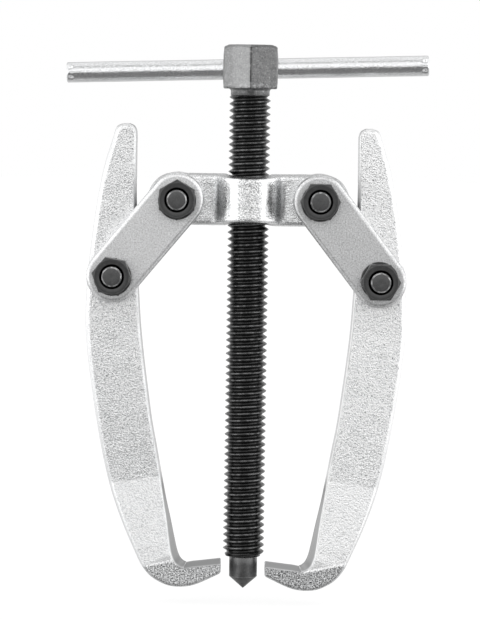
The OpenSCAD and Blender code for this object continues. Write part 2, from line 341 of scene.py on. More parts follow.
class Tree:
    """Short calls for building shader node trees."""

    def __init__(self, tree):
        self.tree = tree

    def node(self, kind, **props):
        node = self.tree.nodes.new(kind)
        for key, value in props.items():
            setattr(node, key, value)
        return node

    def put(self, node, key, value):
        """Links a value to an input, or sets it there."""
        if isinstance(value, Value):
            value = value.socket
        if isinstance(value, bpy.types.NodeSocket):
            self.tree.links.new(value, node.inputs[key])
        else:
            node.inputs[key].default_value = value

    def math(self, operation, *values):
        node = self.node("ShaderNodeMath", operation=operation)
        for i, value in enumerate(values):
            self.put(node, i, value)
        return Value(self, node.outputs[0])

    def step(self, x, start, end, below=0.0, above=1.0):
        """Smooth step from below, at start, to above, at end."""
        node = self.node("ShaderNodeMapRange", interpolation_type="SMOOTHSTEP")
        for i, value in enumerate((x, start, end, below, above)):
            self.put(node, i, value)
        return Value(self, node.outputs[0])

    def window(self, x, low, high, soft):
        """1 between low and high, with edges that reach soft to either side."""
        return (self.step(x, low - soft, low + soft)
                * self.step(x, high - soft, high + soft, below=1.0, above=0.0))

    def mix(self, share, first, second):
        node = self.node("ShaderNodeMix", data_type="FLOAT")
        self.put(node, "Factor", share)
        self.put(node, "A", first)
        self.put(node, "B", second)
        return Value(self, node.outputs["Result"])

    def noise(self, coord, scale, detail=2.0, rough=0.5):
        node = self.node("ShaderNodeTexNoise")
        self.put(node, "Vector", coord)
        self.put(node, "Scale", scale)
        self.put(node, "Detail", detail)
        self.put(node, "Roughness", rough)
        return Value(self, node.outputs[0])

    def attr(self, name):
        node = self.node("ShaderNodeAttribute", attribute_type="GEOMETRY", attribute_name=name)
        return Value(self, node.outputs["Fac"])

    def grey(self, value, tint):
        node = self.node("ShaderNodeCombineColor")
        for i, share in enumerate(tint):
            self.put(node, i, value * share)
        return node.outputs[0]

    def stretched(self, coord, scale):
        node = self.node("ShaderNodeMapping")
        self.put(node, "Vector", coord)
        self.put(node, "Scale", scale)
        return node.outputs[0]

    def bump(self, bsdf, height, distance):
        node = self.node("ShaderNodeBump")
        self.put(node, "Height", height)
        self.put(node, "Distance", distance)
        self.put(bsdf, "Normal", node.outputs[0])


def emptied_tree(owner):
    owner.use_nodes = True
    owner.node_tree.nodes.clear()
    return Tree(owner.node_tree)


def new_material(name):
    material = bpy.data.materials.new(name)
    tree = emptied_tree(material)
    bsdf = tree.node("ShaderNodeBsdfPrincipled")
    tree.put(tree.node("ShaderNodeOutputMaterial"), 0, bsdf.outputs[0])
    coord = tree.node("ShaderNodeTexCoord").outputs["Object"]
    return material, tree, bsdf, coord


# ---------------------------------------------------------------- materials
# Noise scales are cells per metre, bump distances are metres. Tones are linear grey levels.

ZINC_TINT = (0.985, 0.993, 1.0)
BAR_TINT = (0.985, 0.992, 1.0)
STEEL_TINT = (0.99, 0.995, 1.0)


def forged_zinc(name, grain_mm, contrast, level, rough, seed):
    """Bright zinc on a grainy forging. Attributes: ground = machined faces, grain = strength
    of the grain, dim = darkening, mostly painted shade, and a painted highlight below zero."""
    material, tree, bsdf, coord = new_material(name)
    shift = tree.node("ShaderNodeVectorMath", operation="ADD")
    tree.put(shift, 0, coord)
    tree.put(shift, 1, (seed * 0.37, seed * 0.11, seed * 0.23))
    coord = shift.outputs[0]
    ground, grain = tree.attr("ground"), tree.attr("grain")
    fine = tree.noise(coord, scale=1000 / grain_mm, rough=0.6)
    pits = tree.noise(coord, scale=1000 / (grain_mm * 1.7), rough=0.6)
    broad = tree.noise(coord, scale=1000 / 9.0)
    speck = tree.step(fine, start=0.34, end=0.66)
    dark = tree.step(pits, start=0.60, end=0.74)
    spark = tree.step(fine, start=0.66, end=0.74)
    strength = grain * contrast
    tone = (level
            + speck.swing(0.30) * strength      # light and dark grain
            - dark * 0.22 * strength            # small dark pits
            + spark * 0.16 * strength           # a few bright sparks
            + broad.swing(0.14))                # cloudiness
    # machined faces: even satin grey, darker than the skin, with faint grinding lines
    lines = tree.noise(tree.stretched(coord, scale=(60.0, 2600.0, 60.0)), scale=1.0, detail=1.0)
    machined = level - 0.13 + lines.swing(0.10)
    tone = tree.mix(ground, tone, machined)
    darkest = 0.03
    # dim darkens the tone as painted shade; where it is below zero it lightens it as a painted
    # highlight
    tone = tree.math("MAXIMUM", tone, darkest) * (1.0 - tree.attr("dim"))
    tree.put(bsdf, "Base Color", tree.grey(tone, ZINC_TINT))
    tree.put(bsdf, "Metallic", 1.0)
    skin_rough = rough + pits.swing(0.22)
    machined_rough = 0.30
    tree.put(bsdf, "Roughness", tree.mix(ground, skin_rough, machined_rough))
    # relief: grain weighted over pits on the skin, very shallow lines on machined faces
    height = fine * 0.8 + pits * 0.4
    height = height * ((1.0 - ground) * strength)
    height = height + lines * ground * 0.02
    tree.bump(bsdf, height, distance=grain_mm * 0.00028)
    return material


def satin_plate():
    """Evenly speckled satin plating. Attribute: dim = painted shade."""
    material, tree, bsdf, coord = new_material("satin_plate")
    fine = tree.noise(coord, scale=2300.0, rough=0.6)
    mid = tree.noise(coord, scale=900.0)
    broad = tree.noise(coord, scale=110.0)
    spot = tree.step(tree.noise(coord, scale=2400.0, detail=0.0), start=0.78, end=0.83)
    tone = (0.83 - tree.attr("dim")       # base tone
            + fine.swing(1.0)             # speckle
            + broad.swing(0.12)           # cloudiness
            - spot * 0.30)                # rare dark spots
    tree.put(bsdf, "Base Color", tree.grey(tone, STEEL_TINT))
    tree.put(bsdf, "Metallic", 1.0)
    tree.put(bsdf, "Roughness", 0.36 + mid.swing(0.12))      # base roughness, its variation
    tree.bump(bsdf, fine * 0.5 + mid, distance=0.000022)
    return material


def zinc_bar():
    """Glossy zinc with streaks along X, the way the bar lies."""
    material, tree, bsdf, coord = new_material("zinc_bar")
    along = tree.noise(tree.stretched(coord, scale=(90.0, 3800.0, 3800.0)),
                       scale=1.0, detail=3.0, rough=0.6)
    skin = tree.noise(coord, scale=2500.0, rough=0.65)
    broad = tree.noise(coord, scale=70.0)
    tone = (0.86                          # base tone
            + along.swing(0.30)           # streaks
            + skin.swing(0.60))           # fine speckle
    tree.put(bsdf, "Base Color", tree.grey(tone, BAR_TINT))
    tree.put(bsdf, "Metallic", 1.0)
    # base roughness, varied by broad patches
    tree.put(bsdf, "Roughness", (0.13 + broad.swing(0.18, middle=0.4)).clamped())
    tree.bump(bsdf, along * 0.4 + skin * 1.6, distance=0.00005)
    return material


def black_oxide():
    """Black oxide on the thread; the attribute head turns it into the worn gunmetal of the
    hexagon and neck. Attributes: edge = thread crests, wear = bare metal above 0 and a
    painted dark reflection below 0, shade = tone of the head with painted light and shade on its
    faces."""
    material, tree, bsdf, coord = new_material("black_oxide")
    head, edge = tree.attr("head"), tree.attr("edge")
    fine = tree.noise(coord, scale=3000.0, rough=0.6)
    mid = tree.noise(coord, scale=900.0)
    streak = tree.noise(tree.stretched(coord, scale=(2400.0, 2400.0, 130.0)),
                        scale=1.0, rough=0.6)
    wear = tree.attr("wear")
    worn = tree.math("MAXIMUM", wear, 0.0)
    # below zero: the painted dark reflection along the hexagon's front corner
    dark_reflection = tree.math("MAXIMUM", wear * -1.0, 0.0)
    black = (0.030                                                    # base tone
             + tree.step(fine, start=0.5, end=0.8) * 0.05             # pale specks
             + edge * (0.03 + tree.step(mid, start=0.35, end=0.65) * 0.13))   # rubbed crests
    spark = tree.step(fine, start=0.64, end=0.72)
    grey = (tree.attr("shade")
            + fine.swing(0.30)                                        # speckle
            + mid.swing(0.14)                                         # mottling
            + streak.swing(0.05)                                      # upright streaks
            + spark * (0.16 + worn * 0.45)                            # sparks, more where worn
            + worn * (tree.step(mid, start=0.45, end=0.65) * 0.16))   # bare patches
    # the painted dark reflection is broken into patches
    reflection_patches = tree.step(tree.noise(coord, scale=700.0, rough=0.7), start=0.28, end=0.5)
    painted_dark = (dark_reflection * reflection_patches).clamped()
    grey = grey * (1.0 - painted_dark * 0.80)                                # the painted dark reflection darkens by up to 0.80
    tree.put(bsdf, "Base Color", tree.grey(tree.mix(head, black, grey), STEEL_TINT))
    tree.put(bsdf, "Metallic", tree.mix(head, first=0.85, second=1.0))
    # base roughness and its variation: glossy thread, satin head
    tree.put(bsdf, "Roughness", tree.mix(head, 0.14 + mid * 0.08, 0.34 + mid * 0.15))
    tree.put(bsdf, "Specular IOR Level", 0.8)
    # the relief is shallower on the thread
    height = (fine + mid * 0.6) * tree.mix(head, first=0.35, second=1.0)
    tree.bump(bsdf, height, distance=0.00006)
    return material


def dark_metal(name, tone, metallic, rough):
    """Dark metal. Attributes: edge = sharp edges, wear = bare metal above 0 and painted shade
    below.
    """
    material, tree, bsdf, coord = new_material(name)
    fine = tree.noise(coord, scale=3000.0, rough=0.6)
    mid = tree.noise(coord, scale=700.0)
    patch = tree.step(tree.noise(coord, scale=1800.0, detail=1.0), start=0.66, end=0.78)
    level = (tone
             + fine.swing(tone * 0.8)                # speckle
             + mid.swing(tone * 0.7)                 # mottling
             + patch * (tone * 0.6)                  # light patches
             + tree.attr("edge") * (tone * 1.6))     # rubbed edges
    wear = tree.attr("wear")
    # light wear is evenly bright, heavy wear is bright in patches
    worn = tree.math("MAXIMUM", wear, 0.0)
    heavy = tree.step(wear, start=0.2, end=0.4)
    bare = tree.mix(heavy, 0.30 + fine * 0.25,
                    0.25 + tree.step(mid, start=0.42, end=0.62) * 0.85)
    level = level + worn * bare
    # below zero: painted shade, drawn towards black
    black = tree.math("MAXIMUM", wear * -1.0, 0.0)
    level = level * (1.0 - black * 0.97)             # full black leaves 0.03 of the tone
    tree.put(bsdf, "Base Color", tree.grey(level, STEEL_TINT))
    # marked places are more metallic
    tree.put(bsdf, "Metallic", (metallic + tree.math("ABSOLUTE", wear) * 0.9).clamped())
    tree.put(bsdf, "Roughness", rough + mid.swing(0.15))
    tree.bump(bsdf, fine + mid, distance=0.00002)
    return material


# the right jaw's higher level is painted light, a brighter copy of the same zinc
JAW_LEFT_ZINC = forged_zinc("forged_zinc_jaw_left", grain_mm=0.44, contrast=2.1, level=0.96,
                            rough=0.35, seed=1)
JAW_RIGHT_ZINC = forged_zinc("forged_zinc_jaw_right", grain_mm=0.44, contrast=2.8, level=1.11,
                             rough=0.37, seed=3)
CROSSHEAD_ZINC = forged_zinc("forged_zinc_crosshead", grain_mm=0.45, contrast=1.1, level=0.87,
                             rough=0.27, seed=2)
LINK_PLATE = satin_plate()
BAR_ZINC = zinc_bar()
SCREW_BLACK = black_oxide()
GUNMETAL = dark_metal("gunmetal", tone=0.10, metallic=0.7, rough=0.34)
HARDWARE = dark_metal("dark_hardware", tone=0.042, metallic=0.40, rough=0.36)


# ---------------------------------------------------------------- jaws

# Stations of a jaw from the tail down to the hook, from its pivot, +X towards the screw:
# x and z of the outer side, x and z of the inner side
JAW_OUTLINE = [
    [2.3, 44.75, 4.4, 44.8], [0.9, 44.2, 5.7, 44.15], [0.1, 43.2, 6.4, 43],
    [-0.4, 41.4, 6.6, 41.4], [-1.45, 37.9, 6.6, 37.9], [-2.6, 34.2, 6.6, 34.2],
    [-3.8, 29, 6.6, 29], [-5.15, 21.8, 6.65, 21.8], [-6.6, 10.7, 7, 10.7],
    [-7.7, 0, 7.4, 0], [-8.15, -9, 7.95, -9], [-8.1, -16, 8.5, -16],
    [-7.4, -24, 9.4, -24], [-6.2, -33, 10.6, -33], [-4.6, -43, 12.05, -43],
    [-2.8, -52.5, 13.6, -51], [-0.7, -61.4, 15.05, -58.8], [1.5, -68.3, 16.45, -66],
    [4, -74.8, 18, -72.8], [6.6, -80.6, 19.2, -78.4], [9.15, -85.9, 20.05, -81.9],
    [11.7, -89.1, 20.9, -83.9], [14.7, -91.1, 22.1, -85.1], [18, -92.3, 23.4, -85.45],
    [21.9, -92.5, 25, -85.25], [25.2, -91.9, 27, -84.95], [28.6, -90.5, 29.8, -84.55],
    [33, -88.4, 33, -84.1]]
# half thickness along Y at each station
JAW_HALF = [4.5] + [5] * 16 + [5.75, 6.45, 7.05] + [7.5] * 8
LAST = len(JAW_OUTLINE) - 1
CREASE = 16                                   # station where the drawn-down band begins
JAW_STEP = 0.5                                # longest distance between rings
SIDE_STEPS, ARC_STEPS, FACE_STEPS = 5, 5, 22  # steps round a quarter of a ring


def jaw_point(station):
    """Catmull-Rom spline through the outline."""
    i = min(int(station), LAST - 1)
    u = station - i
    before, start = np.array(JAW_OUTLINE[max(i - 1, 0)]), np.array(JAW_OUTLINE[i])
    end, after = np.array(JAW_OUTLINE[i + 1]), np.array(JAW_OUTLINE[min(i + 2, LAST)])
    return 0.5 * (2 * start + (end - before) * u
                  + (2 * before - 5 * start + 4 * end - after) * u * u
                  + (3 * start - before - 3 * end + after) * u ** 3)


def jaw_stations():
    stations = []
    for i in range(LAST):
        move = jaw_point(i + 1) - jaw_point(i)
        longest = max(np.linalg.norm(move[:2]), np.linalg.norm(move[2:]))
        count = max(2, int(math.ceil(longest / JAW_STEP)))
        stations += [i + k / count for k in range(count)]
    return stations + [LAST]


def jaw_ring(station, half=None, inset=0.0, along=0.0):
    """One ring round the jaw: its points, and ground and dim at each of them."""
    outline = jaw_point(station)
    outer, inner = outline[:2].copy(), outline[2:].copy()
    if station > 22.5:                        # flat gripping face of the hook
        inner[1] = min(inner[1], -84.5 + (inner[0] - 33) * math.tan(rad(7.4)))
    width = np.linalg.norm(inner - outer)
    across = (inner - outer) / width
    if half is None:
        half = np.interp(station, range(LAST + 1), JAW_HALF)
    scale = min(1.0, width / 4)
    machined = smooth01(station, CREASE - 1.0, CREASE + 1.5)     # on the inner side
    # draft of the sides, from the parting line to the edges, and radii of the edges
    draft_out = 0.50 * scale + inset
    draft_in = (0.42 + 0.16 * machined + 1.30 * hump(station, 16.2, 20.0, 20.6, 24.2)) * scale
    draft_in += inset
    edge_out = 1.10 * scale
    edge_in = (0.62 - 0.30 * machined) * scale
    # painted shade on the outer and inner sides
    outer_dim = 0.34 + 0.16 * (1 - smooth01(station, 1.8, 3.6))
    inner_dim = (0.44 * (1 - machined)
                 + 0.75 * hump(station, CREASE - 0.3, CREASE + 0.6, 20.8, 22.2)
                 + 0.46 * smooth01(station, 20.8, 22.2))

    samples = []           # distance from the outer side, y, ground, dim; for the +Y half
    for k in range(SIDE_STEPS):               # outer side, from the parting line to the edge
        q = k / SIDE_STEPS
        samples.append((draft_out * q * q + inset * (1 - q * q), q * (half - edge_out),
                        0.0, outer_dim * (1 - smooth01(q, 0.25, 0.95))))
    for k in range(ARC_STEPS + 1):            # outer edge
        a = math.pi / 2 * k / ARC_STEPS
        samples.append((draft_out + edge_out * (1 - math.cos(a)),
                        half - edge_out + edge_out * math.sin(a), 0.0, 0.0))
    face_start, face_end = draft_out + edge_out, width - draft_in - edge_in
    for k in range(1, FACE_STEPS):            # broad face
        samples.append((face_start + (face_end - face_start) * k / FACE_STEPS, half, 0.0, 0.0))
    for k in range(ARC_STEPS + 1):            # inner edge
        a = math.pi / 2 * (1 - k / ARC_STEPS)
        samples.append((width - draft_in - edge_in * (1 - math.cos(a)),
                        half - edge_in + edge_in * math.sin(a),
                        machined * (k / ARC_STEPS > 0.75), 0.0))
    for k in range(SIDE_STEPS - 1, -1, -1):   # inner side, back to the parting line
        q = k / SIDE_STEPS
        samples.append((width - (draft_in * q + inset * (1 - q)), q * (half - edge_in),
                        machined, inner_dim))
    mirrored = [(d, -y, ground, dim) for d, y, ground, dim in samples[::-1][1:-1]]
    distance, depth, ground, dim = np.array(samples + mirrored).T
    points = np.stack([outer[0] + across[0] * distance + along, depth,
                       outer[1] + across[1] * distance], 1)
    return points, ground, dim


def jaw_mesh(name, pivot, mirror, seed, foot_line, lower_dim, band_dim, foot_dim):
    stations = jaw_stations()
    rings = []
    for station in stations[:-1]:
        half = None
        if station < 2.6:                     # the tail's top is rounded in thickness too
            q = np.clip((44.75 - jaw_point(station)[1]) / 1.6, 0, 1)
            half = 5 - 1.1 * (1 - math.sqrt(1 - (1 - q) ** 2))
        rings.append(jaw_ring(station, half))
    rings.append(jaw_ring(LAST, along=-0.3))  # the hook's end has a small bevel
    rings.append(jaw_ring(LAST, half=7.2, inset=0.3))
    shape, ground, dim = (np.array(part) for part in zip(*rings))
    size = shape.shape[1]
    verts, faces = loft(shape)
    station = np.repeat(np.array(stations + [LAST]), size)
    ground = ground.reshape(-1)
    ground[-2 * size:] = 0.0
    jaw = mesh_object(name, verts, faces)
    attribute(jaw, "ground", ground)

    # grain: finer on the drawn-down band, coarse on the foot below its slanting line
    band = smooth01(station, CREASE - 0.03, CREASE + 0.05)
    above_line = verts[:, 2] - foot_line(verts[:, 0])
    foot = (1 - smooth01(above_line, -0.45, 0.45)) * (station > 17)
    face = smooth01(np.abs(normals(jaw)[:, 1]), 0.85, 0.99)
    grain = (1 - band) + 0.55 * band
    grain = grain * (1 - foot) + 2.0 * foot
    attribute(jaw, "grain", grain * (0.3 + 0.7 * face))
    # painted shade above the crease and on the band, and the foot drawn darker
    shaded = lower_dim * smooth01(station, 11.5, 15.5) * (1 - band) * (station < CREASE + 0.1)
    shaded = np.maximum(shaded, band_dim * band)
    shaded = np.maximum(shaded, foot_dim * foot * (0.5 + 0.5 * face))
    attribute(jaw, "dim", np.maximum(dim.reshape(-1), shaded * (1 - ground)))
    # machined places and the hook's end stay even
    mask = (1 - ground) * (1 - 0.6 * band) * (0.2 + 0.8 * face)
    hammered(jaw, mask * smooth01(np.abs(station - LAST), 0.0, 0.5), seed)

    points = coords(jaw)
    if mirror:
        lean = rad(-0.3)                      # the right jaw hangs a little further out
        x, z = -points[:, 0], points[:, 2].copy()
        points[:, 0] = x * math.cos(lean) + z * math.sin(lean)
        points[:, 2] = -x * math.sin(lean) + z * math.cos(lean)
    points[:, 0] += pivot[0]
    points[:, 2] += pivot[1]
    set_coords(jaw, points)
    if mirror:
        jaw.data.flip_normals()
    cut(jaw, [pin_hole(pivot)])
    return jaw


# foot_line gives the height where the rougher skin of the foot starts, which is also drawn darker
# by foot_dim;
# lower_dim and band_dim are painted shade on the length above the crease and on the band below it
left_jaw = jaw_mesh(
    "jaw_left_forging", LOWER_LEFT, mirror=False, seed=1,
    foot_line=lambda x: -85.7 + 0.216 * (x - 12.4),
    lower_dim=0.10, band_dim=0.0, foot_dim=0.43)
place(left_jaw, "left_jaw", "jaw_left", "forged_zinc", JAW_LEFT_ZINC, sharp=50)
right_jaw = jaw_mesh(
    "jaw_right_forging", LOWER_RIGHT, mirror=True, seed=2,
    foot_line=lambda x: -84.9 - 0.20 * (x - 13.0) + 3.0 * np.maximum(x - 21.5, 0),
    lower_dim=0.08, band_dim=0.06, foot_dim=0.57)
place(right_jaw, "right_jaw", "jaw_right", "forged_zinc", JAW_RIGHT_ZINC, sharp=50)


# ---------------------------------------------------------------- crosshead

HUB_BLEND = 3.0                  # radius of the concave blend from hub to arm
HEAD_EDGE = 1.0                  # radius of the long edges
HEAD_DRAFT = math.tan(rad(7.6))  # draft of the top, bottom and ends
BORE_R = 6.15
SINK_R, SINK_IN, SINK_OUT = 7.0, 1.6, 1.0   # cone at the bore's ends: its reach in and out


def hub_depth(x):
    """Half depth at a distance x from the screw: round hub, concave blend, straight arm."""
    x = abs(x)
    blend_end = math.sqrt((HUB_R + HUB_BLEND) ** 2 - (WEB + HUB_BLEND) ** 2)
    blend_start = blend_end * HUB_R / (HUB_R + HUB_BLEND)
    if x < blend_start:
        return math.sqrt(HUB_R ** 2 - x * x)
    if x < blend_end:
        return WEB + HUB_BLEND - math.sqrt(HUB_BLEND ** 2 - (x - blend_end) ** 2)
    return WEB


def crosshead_outline():
    """(x, z, outward normal x, outward normal z) round the crosshead seen from the front."""
    xs = np.concatenate([
        np.linspace(ARM_END_X, 12.2, 20), np.linspace(11.9, 8.6, 16),
        np.linspace(8.2, -8.2, 40),
        np.linspace(-8.6, -11.9, 16), np.linspace(-12.2, -ARM_END_X, 20)])
    arc = [(math.sin(rad(a)), math.cos(rad(a))) for a in np.linspace(0, 180, 41)[1:-1]]
    outline = [(x, ARM_R, 0.0, 1.0) for x in xs]
    outline += [(-ARM_END_X - ARM_R * s, ARM_R * c, -s, c) for s, c in arc]
    outline += [(x, -ARM_R, 0.0, -1.0) for x in xs[::-1]]
    outline += [(ARM_END_X + ARM_R * s, -ARM_R * c, s, -c) for s, c in arc]
    return outline


def crosshead_mesh():
    rings = []
    for x, z, normal_x, normal_z in crosshead_outline():
        depth = hub_depth(x)
        flat = depth - HEAD_EDGE
        half = [(q * flat * HEAD_DRAFT, q * flat) for q in np.linspace(0, 1, 7)[:-1]]
        inset = flat * HEAD_DRAFT
        half += [(inset + HEAD_EDGE * (1 - math.cos(rad(a))),
                  depth - HEAD_EDGE + HEAD_EDGE * math.sin(rad(a)))
                 for a in np.linspace(0, 90, 7)]
        half += [(inset + HEAD_EDGE + (ARM_R - inset - HEAD_EDGE) * q, depth)
                 for q in np.linspace(0, 1, 15)[1:]]
        profile = [(i, -y) for i, y in half[::-1]] + half[1:]
        rings.append([(x - normal_x * i, y, z - normal_z * i) for i, y in profile])
    verts, faces = turned(np.array(rings))
    head = mesh_object("crosshead_forging", verts, faces, merge=2e-3)
    hammered(head, np.ones(len(head.data.vertices)), seed=5,
             broad=0.14, fine=0.07, broad_length=6.0, fine_length=1.5)
    points = coords(head)
    points[:, 2] += ARM_Z
    set_coords(head, points)
    top, bottom = ARM_Z + ARM_R, ARM_Z - ARM_R
    sinks = []
    for start, end in ((top - SINK_IN, top + SINK_OUT), (bottom + SINK_IN, bottom - SINK_OUT)):
        sinks.append(revolved_cutter([(0, start), (BORE_R, start), (SINK_R, end), (0, end)]))
    cut(head, [rod(BORE_R, (0, 0, bottom - 5), (0, 0, top + 5))] + sinks
        + [pin_hole(pivot) for pivot in (UPPER_LEFT, UPPER_RIGHT)])

    x, y, z = coords(head).T
    attribute(head, "ground", (np.hypot(x, y) < 6.3).astype(float))
    front = y < -4.0
    # painted shade in the blends beside the hub and under the lower edge, painted highlights on
    # the hub's flanks
    mid_height = 1 - smooth01(np.abs(z - ARM_Z + 0.3), 3.0, 7.0)
    valley = front * mid_height * 0.46 * (hump(x, -10.1, -8.9, -7.9, -6.7)
                                          + hump(x, 7.4, 8.6, 10.2, 11.3))
    lower = (y < -3.5) * smooth01(ARM_Z - z, 6.75, 7.15) * (np.abs(x) < ARM_END_X)
    flank_highlight = front * (hump(-x, 2.8, 3.6, 6.0, 6.9) + hump(x, 3.3, 4.1, 7.2, 7.9))
    attribute(head, "dim", np.maximum(valley, 0.5 * lower) - 0.12 * flank_highlight)
    # grain: strong in the middle of the hub, weak in the blends and bright places
    middle = front * (1 - smooth01(np.abs(x), 2.4, 4.6))
    attribute(head, "grain", 1.0 + 1.1 * middle + 0.3 * (np.abs(z - ARM_Z) > 4.5)
              - np.minimum(valley, 0.6) - 0.75 * flank_highlight)
    return head


place(crosshead_mesh(), "frame_body", "crosshead", "forged_zinc", CROSSHEAD_ZINC, sharp=45)


# ---------------------------------------------------------------- links

LINK_R = 7.9                     # radius of the ends, half the width
LINK_OUT_EDGE = 1.25             # edge radius on the outer face
LINK_IN_EDGE = 0.45              # edge radius on the inner face


def link_mesh(name, start, end, side):
    """Round-ended plate from pivot to pivot; side is -1 at the front and 1 at the rear."""
    length = np.linalg.norm(end - start)
    along = (end - start) / length
    across = np.array([-along[1], along[0]])
    outline = [(centre, math.cos(rad(a)), math.sin(rad(a)))
               for centre, first in ((length, -90), (0, 90))
               for a in np.linspace(first, first + 180, 49)]
    # (inset from the outline, depth), from the outer face to the inner
    big, small = LINK_OUT_EDGE, LINK_IN_EDGE
    profile = [(big + 0.5, LINK_OUT_Y), (big + 0.15, LINK_OUT_Y)]
    profile += [(big - big * math.sin(rad(a)), LINK_OUT_Y - big + big * math.cos(rad(a)))
                for a in np.linspace(0, 90, 8)]
    profile += [(0, (LINK_OUT_Y + LINK_IN_Y) / 2 - 0.2)]
    profile += [(small - small * math.cos(rad(a)), LINK_IN_Y + small - small * math.sin(rad(a)))
                for a in np.linspace(0, 90, 5)]
    profile += [(small + 0.15, LINK_IN_Y), (small + 0.5, LINK_IN_Y)]
    rings = []
    for inset, y in profile:
        ring = []
        for centre, c, s in outline:
            point = (start + along * (centre + c * (LINK_R - inset))
                     + across * (s * (LINK_R - inset)))
            ring.append((point[0], side * y, point[1]))
        rings.append(ring)
    verts, faces = loft(np.array(rings))
    link = mesh_object(name, verts, faces)
    cut(link, [pin_hole(pivot, reach=20, segments=64) for pivot in (start, end)])
    # the right-hand plates are painted darker, as shade
    attribute(link, "dim", np.full(len(link.data.vertices), 0.10 if start[0] > 0 else 0.0))
    return link


for hand, upper, lower in (("left", UPPER_LEFT, LOWER_LEFT), ("right", UPPER_RIGHT, LOWER_RIGHT)):
    for where, side in (("front", -1), ("rear", 1)):
        node = f"link_{hand}_{where}"
        place(link_mesh(node + "_plate", upper, lower, side), f"{hand}_links", node,
              "satin_plate", LINK_PLATE, sharp=32)


# ---------------------------------------------------------------- hexagons

def hex_corner(apothem, rounding):
    """Distance to the centre of a corner's rounding, and the angle where it meets the flat."""
    centre = (apothem - rounding) / math.cos(rad(30))
    return centre, deg(math.atan2(rounding * 0.5, centre + rounding * math.cos(rad(30))))


def hex_radius(angle, apothem, rounding):
    """Distance to a hexagon with rounded corners, for an angle in degrees from a corner."""
    off_corner = abs((angle + 30) % 60 - 30)
    centre, tangent = hex_corner(apothem, rounding)
    if off_corner < tangent:
        reach = math.sqrt(max(0.0, rounding ** 2 - (centre * math.sin(rad(off_corner))) ** 2))
        return centre * math.cos(rad(off_corner)) + reach
    return apothem / math.cos(rad(30 - off_corner))


def hex_angles(apothem, rounding):
    tangent = hex_corner(apothem, rounding)[1]
    half = [0, tangent * 0.35, tangent * 0.7, tangent]
    half += [tangent + (30 - tangent) * k / 8 for k in range(1, 9)]
    sector = [-a for a in half[:0:-1]] + half[:-1]
    return [60 * k + a for k in range(6) for a in sector]


def hex_rings(flats, low, high, rounding, bottom, top, inner, levels=3, bevel=0.12, slope=30.0):
    """Rings of a hexagonal prism, flats across, from z low to high. bottom and top are the
    radii where the chamfers start; bottom may be None. slope is the top chamfer's, in degrees.
    inner is the (r, z) points that close the profile, from the top back to the bottom."""

    def under(r):
        return low + max(0.0, r - bottom) * math.tan(rad(30)) if bottom else low

    def over(r):
        return high - max(0.0, r - top) * math.tan(rad(slope))

    rings = []
    for angle in hex_angles(flats / 2, rounding):
        rim = hex_radius(angle, flats / 2, rounding)
        inside = rim - bevel
        start = bottom or rim - 0.6
        wall_low, wall_high = under(rim) + bevel, over(rim) - bevel
        profile = [(start - 0.25, low), (start, low)]
        profile += [(r, under(r)) for r in ((start + rim - bevel) / 2, inside)]
        profile += [(rim, wall_low + (wall_high - wall_low) * k / (levels + 1))
                    for k in range(levels + 1)]
        profile += [(rim, wall_high)]
        profile += [(r, over(r)) for r in (inside, (top + rim - bevel) / 2)]
        profile += [(top, high), (top - 0.25, high)]
        profile += inner
        a = rad(angle)
        rings.append([(r * math.cos(a), r * math.sin(a), z) for r, z in profile])
    return np.array(rings)


# ---------------------------------------------------------------- nuts, bolts and washers

M6_FLATS = 10.4


def on_pivot(verts, pivot, y_start, spin):
    """Drawn about Z: turned by spin, laid so that +Z becomes +Y, and put at a pivot."""
    a = rad(spin)
    x = verts[:, 0] * math.cos(a) - verts[:, 1] * math.sin(a)
    y = verts[:, 0] * math.sin(a) + verts[:, 1] * math.cos(a)
    return np.stack([x + pivot[0], verts[:, 2] + y_start, -y + pivot[1]], 1)


def depth_and_radius(obj, pivot):
    """y of each vertex, and its distance from the pivot's axis."""
    x, y, z = coords(obj).T
    return y, np.hypot(x - pivot[0], z - pivot[1])


def nut_mesh(name, pivot, spin):
    """Drawn with its outer face at height 0."""
    height = nut_hi[1] - nut_lo[1]
    rings = hex_rings(M6_FLATS, 0, height, rounding=0.3, bottom=5.12, top=4.93,
                      inner=[(3.45, height), (PIN_HOLE_R + 0.01, height - 0.4),
                             (PIN_HOLE_R + 0.01, 0.75), (3.62, 0.04), (3.72, 0)])
    verts, faces = turned(rings, closed=True)
    nut = mesh_object(name, on_pivot(verts, pivot, nut_lo[1], spin), faces)
    mark_edges(nut)
    y, r = depth_and_radius(nut, pivot)
    # painted shadow in the recess round the bolt
    attribute(nut, "wear", -0.8 * ((y < nut_lo[1] + 0.8) & (r < 3.66)))    # dark recess
    return nut


